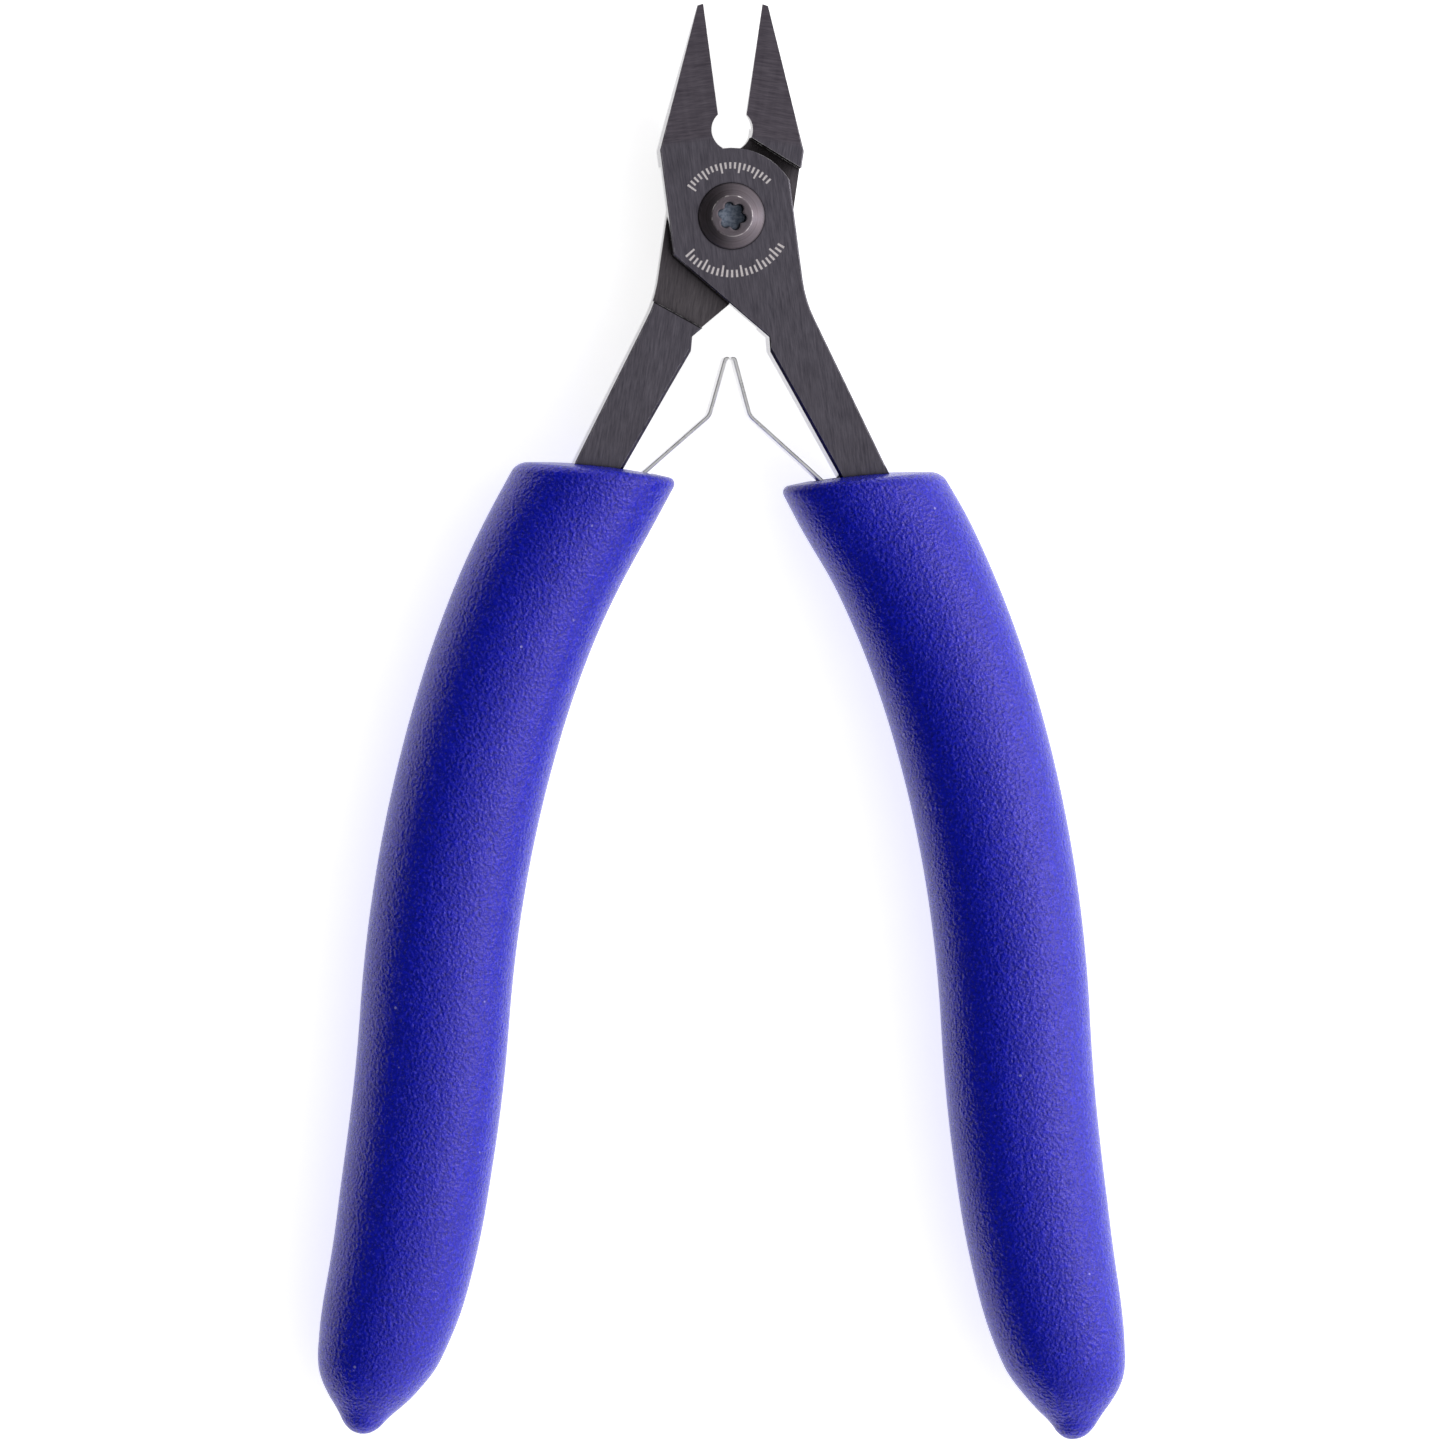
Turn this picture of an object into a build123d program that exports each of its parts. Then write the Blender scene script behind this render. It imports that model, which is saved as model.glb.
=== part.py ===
from build123d import *
import os
from math import atan2, cos, degrees, radians, sin, tan

# Flush cutter with a lap joint, lying on its grips with the jaws pointing to +Y.
# The origin is on the pivot axis at the back face of the head, and +Z is the front.
# The front half is the left jaw and right handle, the rear half the right jaw and left handle.
# Both halves are drawn closed, with the cutting edges on X = 0, and turned open at the end.
# All sizes are in millimetres and all angles in degrees.

# ---- head and jaws ----
THICKNESS = 6.4
HEAD_WIDTH = 12.7
JAW_LENGTH = 21.8
JAW_CORNER_Y = 7.6
TIP_WIDTH = 0.6
TIP_SLANT = 0.1
EDGE_GAP = 0.02
OPEN_ANGLE = 15.8
LAP_RADIUS = 6.95
LAP_FLAT_DISTANCE = 6.85
LAP_FLAT_SLOPE = 48.0
LAP_PLAY = 0.02
SHOULDER_GAP = 0.93
SHOULDER_SLOPE = 23.0
STEP_DISTANCE = 11.4
STEP_SLOPE = 20.5
NOTCH_RADIUS = 2.1
NOTCH_OPEN_Y = 8.8

# ---- grinding of the jaws ----
EDGE_LAND_AT_TIP = 0.25
EDGE_LAND_AT_NOTCH = 1.8
BEVEL_ANGLE = 30.0
FRONT_TAPER = 0.35
FRONT_TAPER_START = 8.2
TIP_THICKNESS = 2.2
RELIEF_START = 9.6
EDGE_BREAK = 0.12
INNER_EDGE_BREAK = 0.3

# ---- pivot screw ----
SCREW_HEAD_RADIUS = 3.4
SCREW_TOP_RADIUS = 2.1
SCREW_HEAD_EDGE = 0.15
SCREW_HEAD_HEIGHT = 0.95
JOURNAL_RADIUS = 2.5
JOURNAL_CLEARANCE = 0.03
THREAD_RADIUS = 2.0
THREAD_CLEARANCE = 0.02
RECESS_LOBES = 6
RECESS_RADIUS = 1.1
RECESS_LOBE_RADIUS = 0.45
RECESS_LOBE_CIRCLE = 1.02
RECESS_TURN = 48.0
RECESS_DEPTH = 1.3
RECESS_POINT_DEPTH = 0.5

# ---- handles ----
CROTCH_X = 1.32
INNER_EDGE = [(2.2, -12.7), (2.12, -14.2), (3.85, -18.5)]
OUTER_BEND_RADIUS = 13.0
OUTER_HEADING = 18.3
HANDLE_START = (6.06, -17.0)
HANDLE_HEADING = 20.0
# Length and turn of each stretch of the handle's centreline; a negative turn bends it inwards.
HANDLE_STRETCHES = [(17.0, 0.0), (20.0, -11.0), (33.0, -13.3), (29.0, 9.6), (14.3, -6.2)]
TANG_WIDTH = 4.6
TANG_SHORT_OF_GRIP = 12.0
TANG_END_RADIUS = 1.8

# ---- grips ----
GRIP_WIDTH = 15.4
GRIP_DEPTH = 14.0
GRIP_TOP_Y = -27.9
GRIP_STATIONS = 14
GRIP_END_STATIONS = 8
GRIP_END_LENGTH = 26.0
GRIP_END_SHRINK = 0.05
GRIP_END_POWER = 3.2
GRIP_END_ROOT = 1.75
GRIP_TIP_RADIUS = 0.8
GRIP_FIT = 0.05

# ---- leaf springs, in the open position for the arms ----
SPRING_THICKNESS = 0.36
SPRING_WIDTH = 4.8
SPRING_BEND_S = 14.4
SPRING_FOOT_LENGTH = 12.0
SPRING_KNEE = (2.06, -20.3)
SPRING_KNEE_RADIUS = 1.5
SPRING_TOP = (0.42, -14.35)
SPRING_HOOK = (0.18, -14.55)
SPRING_HOOK_RADIUS = 0.2
SPRING_JOINT_GAP = 0.1
SPRING_ROOM = 0.5
RIVET_FIRST = 3.5
RIVET_PITCH = 5.0
RIVET_SHANK_RADIUS = 0.7
RIVET_SHANK_LENGTH = 3.0
RIVET_HEAD_RADIUS = 1.2
RIVET_HEAD_HEIGHT = 0.5
RIVET_CLEARANCE = 0.02

# ---- worked out from the sizes above ----
MID_Z = THICKNESS / 2
HALF_HEAD = HEAD_WIDTH / 2
HALF_OPEN = OPEN_ANGLE / 2
FAR = 4 * JAW_LENGTH
TANG_INNER = -TANG_WIDTH / 2
CENTRELINE_LENGTH = sum(length for length, turn in HANDLE_STRETCHES)
TANG_END_S = CENTRELINE_LENGTH - TANG_SHORT_OF_GRIP
GRIP_TOP_S = (HANDLE_START[1] - GRIP_TOP_Y) / cos(radians(HANDLE_HEADING))
FOOT_OFFSET = TANG_INNER - SPRING_THICKNESS / 2
FOOT_END_S = SPRING_BEND_S + SPRING_FOOT_LENGTH


# ---- the handle's centreline ----

def place(distance, offset=0.0):
    """Point beside the centreline, offset away from the other handle, in the closed position."""
    x, y = HANDLE_START
    heading = radians(HANDLE_HEADING)
    last = len(HANDLE_STRETCHES) - 1
    for index, (length, turn) in enumerate(HANDLE_STRETCHES):
        run = distance if index == last else min(distance, length)
        bend = radians(turn) / length
        turned = heading + bend * run
        if bend:
            x += (cos(heading) - cos(turned)) / bend
            y -= (sin(turned) - sin(heading)) / bend
        else:
            x += run * sin(heading)
            y -= run * cos(heading)
        heading = turned
        distance -= run
        if distance <= 0:
            break
    return (x + offset * cos(heading), y + offset * sin(heading))


def heading_at(distance):
    """Heading of the centreline, measured from -Y towards +X."""
    heading = HANDLE_HEADING
    for length, turn in HANDLE_STRETCHES:
        heading += turn * min(max(distance, 0.0), length) / length
        distance -= length
    return heading


def rail(start, end, offset):
    """Lines and arcs that run beside the centreline at one offset."""
    pieces = []
    reached = 0.0
    for length, turn in HANDLE_STRETCHES:
        low = max(start, reached)
        high = min(end, reached + length)
        if high > low:
            first, last = place(low, offset), place(high, offset)
            middle = place((low + high) / 2, offset)
            pieces.append(ThreePointArc(first, middle, last) if turn else Line(first, last))
        reached += length
    return pieces


def band(start, end, inner, outer, bottom, top):
    """Bar that follows the centreline between two offsets and two heights."""
    ends = [Line(place(s, inner), place(s, outer)) for s in (start, end)]
    outline = make_face(rail(start, end, inner) + rail(start, end, outer) + ends)
    return Pos(0, 0, bottom) * extrude(outline, top - bottom)


def opened(shape, side):
    """Turn a closed piece to the open rest position; side is 1 for the right handle."""
    return shape.rotate(Axis.Z, side * HALF_OPEN)


def left_of(shape):
    """The same piece on the left handle."""
    return mirror(shape, about=Plane.YZ)


# ---- the two halves ----

def half_outline():
    """Outline of the front half from the front, without its screw hole."""
    slope = radians(LAP_FLAT_SLOPE)
    side_low_y = -(LAP_FLAT_DISTANCE - HALF_HEAD * sin(slope)) / cos(slope)
    crotch_y = -(LAP_FLAT_DISTANCE - CROTCH_X * sin(slope)) / cos(slope)
    tang_inner = place(GRIP_TOP_S, TANG_INNER)
    tang_outer = place(GRIP_TOP_S, TANG_WIDTH / 2)
    bend_y = tang_outer[1] + (tang_outer[0] - HALF_HEAD) / tan(radians(OUTER_HEADING))
    corners = [
        (-EDGE_GAP, 0),
        (-EDGE_GAP, JAW_LENGTH),
        (-EDGE_GAP - TIP_WIDTH, JAW_LENGTH - TIP_SLANT),
        (-HALF_HEAD, JAW_CORNER_Y),
        (-HALF_HEAD, side_low_y),
        (-CROTCH_X, crotch_y),
        *INNER_EDGE,
        tang_inner,
        tang_outer,
        (HALF_HEAD, bend_y),
        (HALF_HEAD, 0),
    ]
    radii = [OUTER_BEND_RADIUS if corner == (HALF_HEAD, bend_y) else 0 for corner in corners]
    outline = make_face(FilletPolyline(*corners, radius=radii, close=True))
    notch_x, notch_y = open_notch_centre()
    outline -= Pos(notch_x, notch_y) * Circle(NOTCH_RADIUS)
    disc = Circle(LAP_RADIUS) & Rectangle(HEAD_WIDTH, 2 * LAP_RADIUS)
    return outline + (disc & Pos(0, LAP_RADIUS) * Rectangle(HEAD_WIDTH, 2 * LAP_RADIUS))


def open_notch_centre():
    """Centre of the round notch on the front half; the two notches line up when open."""
    turn = radians(HALF_OPEN)
    return (NOTCH_OPEN_Y * sin(turn), NOTCH_OPEN_Y * cos(turn))


def lap_cut():
    """What the lap joint takes off the back of the front half."""
    shoulder = radians(SHOULDER_SLOPE)
    step = radians(STEP_SLOPE)
    distance = LAP_RADIUS + SHOULDER_GAP

    def shoulder_y(x):
        return (distance + x * sin(shoulder)) / cos(shoulder)

    def step_y(x):
        return (x * sin(step) - STEP_DISTANCE) / cos(step)

    reach = 2 * HEAD_WIDTH
    corners = [
        (-reach, shoulder_y(-reach)),
        (reach, shoulder_y(reach)),
        (reach, step_y(reach)),
        (-reach, step_y(-reach)),
    ]
    region = make_face(Polyline(*corners, close=True))
    return Pos(0, 0, -1) * extrude(region, MID_Z + LAP_PLAY / 2 + 1)


def jaw_grinding():
    """Hollow bevel, front taper and back relief of the left jaw, to be cut away."""
    run = JAW_LENGTH - FRONT_TAPER_START
    front = make_face(
        Polyline(
            (FRONT_TAPER_START, THICKNESS),
            (FRONT_TAPER_START + 2 * run, THICKNESS - 2 * FRONT_TAPER),
            (FRONT_TAPER_START + 2 * run, THICKNESS + 1),
            (FRONT_TAPER_START, THICKNESS + 1),
            close=True,
        )
    )
    rise = (THICKNESS - FRONT_TAPER - TIP_THICKNESS) / (JAW_LENGTH - RELIEF_START)
    back = make_face(
        Polyline(
            (RELIEF_START, 0),
            (RELIEF_START + 2 * run, 2 * run * rise),
            (RELIEF_START + 2 * run, -1),
            (RELIEF_START, -1),
            close=True,
        )
    )
    side_on = Plane(origin=(0, 0, 0), x_dir=(0, 1, 0), z_dir=(1, 0, 0))
    taper = extrude(side_on * front, HALF_HEAD + 1, both=True)
    relief = extrude(side_on * back, HALF_HEAD + 1, both=True)
    edge_z = THICKNESS - EDGE_LAND_AT_NOTCH
    tip_edge_z = THICKNESS - FRONT_TAPER - EDGE_LAND_AT_TIP
    reach = tan(radians(BEVEL_ANGLE)) * (edge_z + 2)
    wedge = make_face(
        Polyline(
            (-EDGE_GAP, edge_z),
            (-EDGE_GAP - reach, -2),
            (1, -2),
            (1, edge_z),
            close=True,
        )
    )
    end_on = Plane(origin=(0, NOTCH_OPEN_Y, 0), x_dir=(1, 0, 0), z_dir=(0, -1, 0))
    bevel = extrude(end_on * wedge, -2 * run)
    tilt = degrees(atan2(tip_edge_z - edge_z, JAW_LENGTH - NOTCH_OPEN_Y))
    bevel = bevel.rotate(Axis((0, NOTCH_OPEN_Y, edge_z), (1, 0, 0)), tilt)
    return [taper, relief, bevel]


def break_edges(blade):
    """Small bevels round the front and back faces, wider on the inside of the handle."""
    end_x, end_y = place(GRIP_TOP_S)

    def flat_and_straight(edge):
        middle = edge.position_at(0.5)
        on_face = min(abs(middle.Z), abs(middle.Z - THICKNESS)) < 0.001
        at_grip = abs(middle.X - end_x) + abs(middle.Y - end_y) < 0.1
        return on_face and not at_grip and edge.geom_type == GeomType.LINE and edge.length > 1

    def inside_handle(edge):
        middle = edge.position_at(0.5)
        centre_x = HANDLE_START[0] + (HANDLE_START[1] - middle.Y) * tan(radians(HANDLE_HEADING))
        return middle.Y < INNER_EDGE[1][1] and middle.X < centre_x

    def on_outside(edge):
        middle = edge.position_at(0.5)
        in_cutting_gap = middle.Y > LAP_RADIUS and middle.X > -NOTCH_RADIUS
        return not inside_handle(edge) and not in_cutting_gap

    blade = chamfer(blade.edges().filter_by(flat_and_straight).filter_by(on_outside), EDGE_BREAK)
    inner = blade.edges().filter_by(flat_and_straight).filter_by(inside_handle)
    return chamfer(inner, INNER_EDGE_BREAK)


def front_blank():
    """The front half before its jaw is ground and its screw hole is cut."""
    blade = extrude(half_outline(), THICKNESS)
    tang = band(GRIP_TOP_S - 0.01, TANG_END_S, TANG_INNER, TANG_WIDTH / 2, 0, THICKNESS)
    tang = fillet(end_corners(tang), TANG_END_RADIUS)
    blank = break_edges(blade) + tang - lap_cut()
    for distance in rivet_places():
        blank -= rivet_bore(distance)
    return blank


def end_corners(tang):
    """The two upright edges at the buried end of the tang."""
    return tang.edges().filter_by(Axis.Z).sort_by(Axis.Y)[:2]


def turned_over(shape):
    """Turn a piece half a turn about the tool's length, so its back becomes its front."""
    return shape.rotate(Axis((0, 0, MID_Z), (0, 1, 0)), 180)


def front_half():
    half = front_blank()
    for cut in jaw_grinding():
        half -= cut
    bore = Cylinder(JOURNAL_RADIUS + JOURNAL_CLEARANCE, 3 * THICKNESS)
    return half - bore


def rear_half():
    half = turned_over(front_blank())
    for cut in jaw_grinding():
        half -= left_of(cut)
    bore = Cylinder(THREAD_RADIUS + THREAD_CLEARANCE, 3 * THICKNESS)
    return half - bore


# ---- the pivot screw ----

def pivot_screw():
    """Shoulder screw: conical head with a six-lobe recess, journal and threaded end."""
    head_base = THICKNESS + LAP_PLAY
    seat = MID_Z - LAP_PLAY / 2
    top = head_base + SCREW_HEAD_HEIGHT
    profile = Polyline(
        (0, 0),
        (THREAD_RADIUS, 0),
        (THREAD_RADIUS, seat),
        (JOURNAL_RADIUS, seat),
        (JOURNAL_RADIUS, head_base),
        (SCREW_HEAD_RADIUS, head_base),
        (SCREW_HEAD_RADIUS, head_base + SCREW_HEAD_EDGE),
        (SCREW_TOP_RADIUS, top),
        (0, top),
        close=True,
    )
    screw = revolve(make_face(Plane.XZ * profile), Axis.Z)
    recess = Circle(RECESS_RADIUS)
    for lobe in PolarLocations(RECESS_LOBE_CIRCLE, RECESS_LOBES, start_angle=RECESS_TURN):
        recess += lobe * Circle(RECESS_LOBE_RADIUS)
    floor = top - RECESS_DEPTH
    screw -= Pos(0, 0, floor) * extrude(recess, 2 * RECESS_DEPTH)
    point_height = RECESS_POINT_DEPTH
    point = Cone(0.01, RECESS_RADIUS, point_height)
    return screw - Pos(0, 0, floor - point_height / 2) * point


# ---- grips ----

def grip_scale(distance):
    """Share of the full width and depth that the grip has at a distance along it."""
    along = (distance - CENTRELINE_LENGTH + GRIP_END_LENGTH) / GRIP_END_LENGTH
    if along <= 0:
        return 1.0
    return (1 - GRIP_END_SHRINK * along) * (1 - along**GRIP_END_POWER) ** (1 / GRIP_END_ROOT)


def grip_section(distance):
    """Oval section across the grip."""
    scale = max(grip_scale(distance), 2 * GRIP_TIP_RADIUS / GRIP_WIDTH)
    heading = radians(heading_at(distance))
    x, y = place(distance)
    across = (cos(heading), sin(heading), 0)
    along = (sin(heading), -cos(heading), 0)
    plane = Plane(origin=(x, y, MID_Z), x_dir=across, z_dir=along)
    return plane * Ellipse(scale * GRIP_WIDTH / 2, scale * GRIP_DEPTH / 2)


def spring_pocket():
    """Room in the grip for the spring's foot, its rivets and the swing of its arm."""
    height = SPRING_WIDTH / 2 + SPRING_ROOM
    foot_room = SPRING_THICKNESS + RIVET_HEAD_HEIGHT + SPRING_ROOM
    pocket = band(
        SPRING_BEND_S,
        FOOT_END_S + SPRING_ROOM,
        TANG_INNER - foot_room,
        0,
        MID_Z - height,
        MID_Z + height,
    )
    bend = place(SPRING_BEND_S + 1, TANG_INNER)
    bend_low = place(SPRING_BEND_S + 1, TANG_INNER - foot_room)
    knee = closed_point(SPRING_KNEE)
    across = Vector(knee[0] - bend[0], knee[1] - bend[1]).normalized()
    side = Vector(across.Y, -across.X) * -foot_room
    reach = across * (SPRING_BEND_S + 1)
    mouth = Vector(*bend) + reach + side
    swing = make_face(
        Polyline(
            bend,
            place(0, TANG_INNER),
            (mouth.X, mouth.Y),
            bend_low,
            close=True,
        )
    )
    return pocket + Pos(0, 0, MID_Z - height) * extrude(swing, 2 * height)


def right_grip():
    straight_end = CENTRELINE_LENGTH - GRIP_END_LENGTH
    start = GRIP_TOP_S - GRIP_WIDTH / 2
    step = (straight_end - start) / GRIP_STATIONS
    stations = [start + step * index for index in range(GRIP_STATIONS)]
    for index in range(GRIP_END_STATIONS + 1):
        share = 1 - (1 - index / GRIP_END_STATIONS) ** 2
        stations.append(straight_end + share * GRIP_END_LENGTH)
    grip = loft([grip_section(distance) for distance in stations])
    above = Pos(0, GRIP_TOP_Y + FAR / 2, MID_Z) * Box(FAR, FAR, FAR)
    tang_room = band(
        0,
        TANG_END_S + GRIP_FIT,
        TANG_INNER - GRIP_FIT,
        TANG_WIDTH / 2 + GRIP_FIT,
        -GRIP_FIT,
        THICKNESS + GRIP_FIT,
    )
    return grip - above - tang_room - spring_pocket()


# ---- leaf springs ----

def closed_point(point):
    """Where a point of the open right handle is when the tool is closed."""
    turn = radians(-HALF_OPEN)
    x, y = point
    return (x * cos(turn) - y * sin(turn), x * sin(turn) + y * cos(turn))


def open_point(point):
    """Where a point of the closed right handle is when the tool is open."""
    turn = radians(HALF_OPEN)
    x, y = point
    return (x * cos(turn) - y * sin(turn), x * sin(turn) + y * cos(turn))


def spring_foot():
    """Flat end of the right spring, riveted to the inner face of the tang."""
    foot = band(
        SPRING_BEND_S,
        FOOT_END_S,
        TANG_INNER - SPRING_THICKNESS,
        TANG_INNER,
        MID_Z - SPRING_WIDTH / 2,
        MID_Z + SPRING_WIDTH / 2,
    )
    for distance in rivet_places():
        foot -= rivet_bore(distance)
    return foot


def spring_arm():
    """Free arm of the right spring in the open position, from its bend to the hooked tip."""
    bend = Vector(*open_point(place(SPRING_BEND_S, FOOT_OFFSET)))
    knee = Vector(*SPRING_KNEE)
    root = bend + (knee - bend).normalized() * SPRING_JOINT_GAP
    path = FilletPolyline(
        root,
        knee,
        SPRING_TOP,
        SPRING_HOOK,
        radius=[SPRING_KNEE_RADIUS, SPRING_HOOK_RADIUS],
    )
    start = Plane(origin=path @ 0, x_dir=(0, 0, 1), z_dir=path % 0)
    section = start * Rectangle(SPRING_WIDTH, SPRING_THICKNESS)
    return Pos(0, 0, MID_Z) * sweep(section, path)


def rivet_places():
    """Distances of the rivets along the handle's centreline."""
    return [SPRING_BEND_S + RIVET_FIRST + index * RIVET_PITCH for index in range(2)]


def rivet_axis(distance):
    """Plane on the tang's inner face whose normal points out of the steel."""
    heading = radians(heading_at(distance))
    x, y = place(distance, TANG_INNER)
    return Plane(origin=(x, y, MID_Z), x_dir=(0, 0, 1), z_dir=(-cos(heading), -sin(heading), 0))


def rivet_bore(distance):
    """Hole for one rivet through the spring's foot and into the tang."""
    depth = RIVET_SHANK_LENGTH + RIVET_CLEARANCE
    bore = Cylinder(RIVET_SHANK_RADIUS + RIVET_CLEARANCE, 2 * depth)
    return rivet_axis(distance) * bore


def rivet(distance):
    """Rivet with a low round head on the spring's foot."""
    seat = SPRING_THICKNESS + RIVET_CLEARANCE
    top = seat + RIVET_HEAD_HEIGHT
    profile = Polyline(
        (0, -RIVET_SHANK_LENGTH),
        (RIVET_SHANK_RADIUS, -RIVET_SHANK_LENGTH),
        (RIVET_SHANK_RADIUS, seat),
        (RIVET_HEAD_RADIUS, seat),
        (RIVET_HEAD_RADIUS, seat + RIVET_HEAD_HEIGHT / 3),
        (RIVET_SHANK_RADIUS, top),
        (0, top),
        close=True,
    )
    return rivet_axis(distance) * revolve(make_face(Plane.XZ * profile), Axis.Z)


def spring_rivets():
    return Compound([rivet(distance) for distance in rivet_places()])


# ---- the assembly, open at rest ----

foot = spring_foot()
arm = spring_arm()
rivets = spring_rivets()
grip = right_grip()

pieces = {
    "front_half": opened(front_half(), 1),
    "rear_half": opened(rear_half(), -1),
    "pivot_screw": pivot_screw(),
    "right_grip": opened(grip, 1),
    "left_grip": opened(left_of(grip), -1),
    "right_spring_foot": opened(foot, 1),
    "left_spring_foot": opened(left_of(foot), -1),
    "right_spring_arm": arm,
    "left_spring_arm": left_of(arm),
    "right_spring_rivets": opened(rivets, 1),
    "left_spring_rivets": opened(left_of(rivets), -1),
}

os.makedirs("parts", exist_ok=True)
for node, shape in pieces.items():
    export_step(shape, f"parts/{node}.step")
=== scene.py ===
import math

import bmesh
import bpy
from mathutils import Matrix, Vector, noise


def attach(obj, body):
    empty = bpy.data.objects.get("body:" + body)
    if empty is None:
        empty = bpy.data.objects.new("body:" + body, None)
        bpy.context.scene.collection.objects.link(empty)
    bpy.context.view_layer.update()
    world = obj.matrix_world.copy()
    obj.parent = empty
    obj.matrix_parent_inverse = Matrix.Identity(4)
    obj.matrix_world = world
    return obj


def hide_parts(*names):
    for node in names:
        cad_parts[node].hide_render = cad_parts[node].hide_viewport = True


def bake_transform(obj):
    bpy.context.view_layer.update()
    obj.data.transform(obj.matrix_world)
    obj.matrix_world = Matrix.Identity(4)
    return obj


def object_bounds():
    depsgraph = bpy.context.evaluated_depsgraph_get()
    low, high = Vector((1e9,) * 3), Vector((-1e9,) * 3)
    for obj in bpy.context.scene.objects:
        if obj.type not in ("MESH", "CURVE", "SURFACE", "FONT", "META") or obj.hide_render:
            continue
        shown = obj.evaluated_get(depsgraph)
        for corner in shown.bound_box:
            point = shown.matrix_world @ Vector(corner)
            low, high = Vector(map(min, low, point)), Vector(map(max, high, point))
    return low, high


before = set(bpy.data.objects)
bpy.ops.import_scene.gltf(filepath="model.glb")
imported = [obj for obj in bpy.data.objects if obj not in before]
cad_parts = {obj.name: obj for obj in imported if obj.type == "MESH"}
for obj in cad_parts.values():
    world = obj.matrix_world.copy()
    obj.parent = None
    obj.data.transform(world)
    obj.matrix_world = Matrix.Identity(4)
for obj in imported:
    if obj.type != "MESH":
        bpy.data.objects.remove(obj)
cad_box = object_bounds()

# The tool lies on its grips with the jaws to +Y. Lengths below are millimetres unless named otherwise.
MM = 0.001
THICKNESS = 6.4
MID_Z = THICKNESS / 2
HALF_OPEN = math.radians(7.9)

# The handle's centreline with the tool closed: start, heading, then length and turn of each stretch.
HANDLE_START = (6.06, -17.0)
HANDLE_HEADING = 20.0
HANDLE_STRETCHES = [(17.0, 0.0), (20.0, -11.0), (33.0, -13.3), (29.0, 9.6), (14.3, -6.2)]
HANDLE_LENGTH = sum(length for length, turn in HANDLE_STRETCHES)
TANG_HALF = 2.3

# The step between the rear half's lap floor and its handle, with the tool closed.
STEP_DISTANCE = 11.4
STEP_SLOPE = 20.5

# Grips.
GRIP_TOP_Y = -27.9
GRIP_CROWN = 0.6
GRIP_TOP_INSET = 0.45
GRIP_HALF_WIDTH = 7.66
GRIP_HALF_DEPTH = 6.98
GRIP_FULLNESS = 2.12
GRIP_RIM = 0.9
GRIP_RIM_RINGS = 8
GRIP_SIDES = 112
# Below the rim, the rings swing from the flat top's slant to square across the handle: from this far under
# the top, to this far along the handle.
GRIP_SWING_START = 1.5
GRIP_SWING_END = 19.0
GRIP_SWING_RINGS = 26
# The rings of the flat top, as shares of its width.
GRIP_TOP_SHARES = (0.08, 0.2, 0.34, 0.48, 0.62, 0.74, 0.84)
# Distance back from the grip's end and the half width there.
GRIP_HALF_WIDTHS = [
    (200.0, GRIP_HALF_WIDTH),
    (60.0, GRIP_HALF_WIDTH),
    (40.0, 7.62),
    (25.0, 7.5),
    (18.0, 7.24),
    (14.2, 7.02),
    (11.1, 6.68),
    (8.0, 6.12),
    (6.4, 5.6),
    (4.9, 4.85),
    (3.4, 3.78),
    (2.5, 3.0),
    (1.7, 2.38),
    (1.0, 1.9),
    (0.4, 1.25),
    (0.1, 0.65),
    (0.0, 0.05),
]
# How each grip sits: its top above GRIP_TOP_Y, the top's slope to the outside, the whole piece's shift
# in X and Y, and its sideways lean (distance back from the end, shift to the outside).
GRIP_FITS = {
    "right": {
        "raised": 0.14,
        "slope": 0.04,
        "shift": (0.0, 0.0),
        "lean": [
            (101.0, -0.45), (92.0, -0.05), (65.0, 0.12), (45.0, 0.05), (30.0, -0.05), (14.0, -0.27),
            (9.0, -0.13), (5.0, 0.25), (3.0, 0.12), (0.0, -0.3),
        ],
    },
    "left": {
        "raised": 0.55,
        "slope": 0.042,
        "shift": (0.2, 0.25),
        "lean": [
            (101.0, -0.18), (85.0, 0.02), (30.0, 0.0), (16.0, -0.24), (9.0, 0.04), (5.0, 0.5), (0.0, 0.6),
        ],
    },
}

# Leaf springs, open.
LEAF_THICKNESS = 0.36
LEAF_WIDTH = 4.8
LEAF_BEND_S = 14.4
LEAF_KNEE = (2.06, -20.3)
LEAF_TOP = (0.42, -14.35)
LEAF_HOOK = (0.18, -14.55)
# Points of the foot as distances into the grip from the bend, the radii of all corners from foot to hook,
# and the softened edge.
LEAF_FOOT = (11.9, 8.0, 4.0)
LEAF_RADII = (3.0, 3.0, 1.1, 1.5, 0.2)
LEAF_EDGE = 0.07

# The slot in each grip that a leaf swings in. Along the tang it runs this far out of the grip and into it
# from the bend, and it reaches this far into the tang and off it. Along the leaf it starts and ends at these
# distances from the bend, this far outside and inside the leaf. It is this much wider than the leaf.
MOUTH_OUT_OF_GRIP = 5.2
MOUTH_INTO_GRIP = 2.5
MOUTH_INTO_TANG = 0.2
MOUTH_OFF_TANG = 0.9
MOUTH_REACH = (0.5, 7.5)
MOUTH_OUTSIDE = 0.75
MOUTH_INSIDE = 1.2
MOUTH_CLEARANCE = 0.45

# Pivot screw.
HEAD_BASE = 6.42
HEAD_TOP = 7.37
HEAD_RADIUS = 3.4
TOP_RADIUS = 2.1
JOURNAL_RADIUS = 2.5
JOURNAL_SEAT = 3.19
THREAD_RADIUS = 2.0
RECESS_RADIUS = 1.1
LOBE_CIRCLE = 1.02
LOBE_RADIUS = 0.45
LOBE_TURN = math.radians(48)
RECESS_DEPTH = 1.3
SCREW_SIDES = 180

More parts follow.
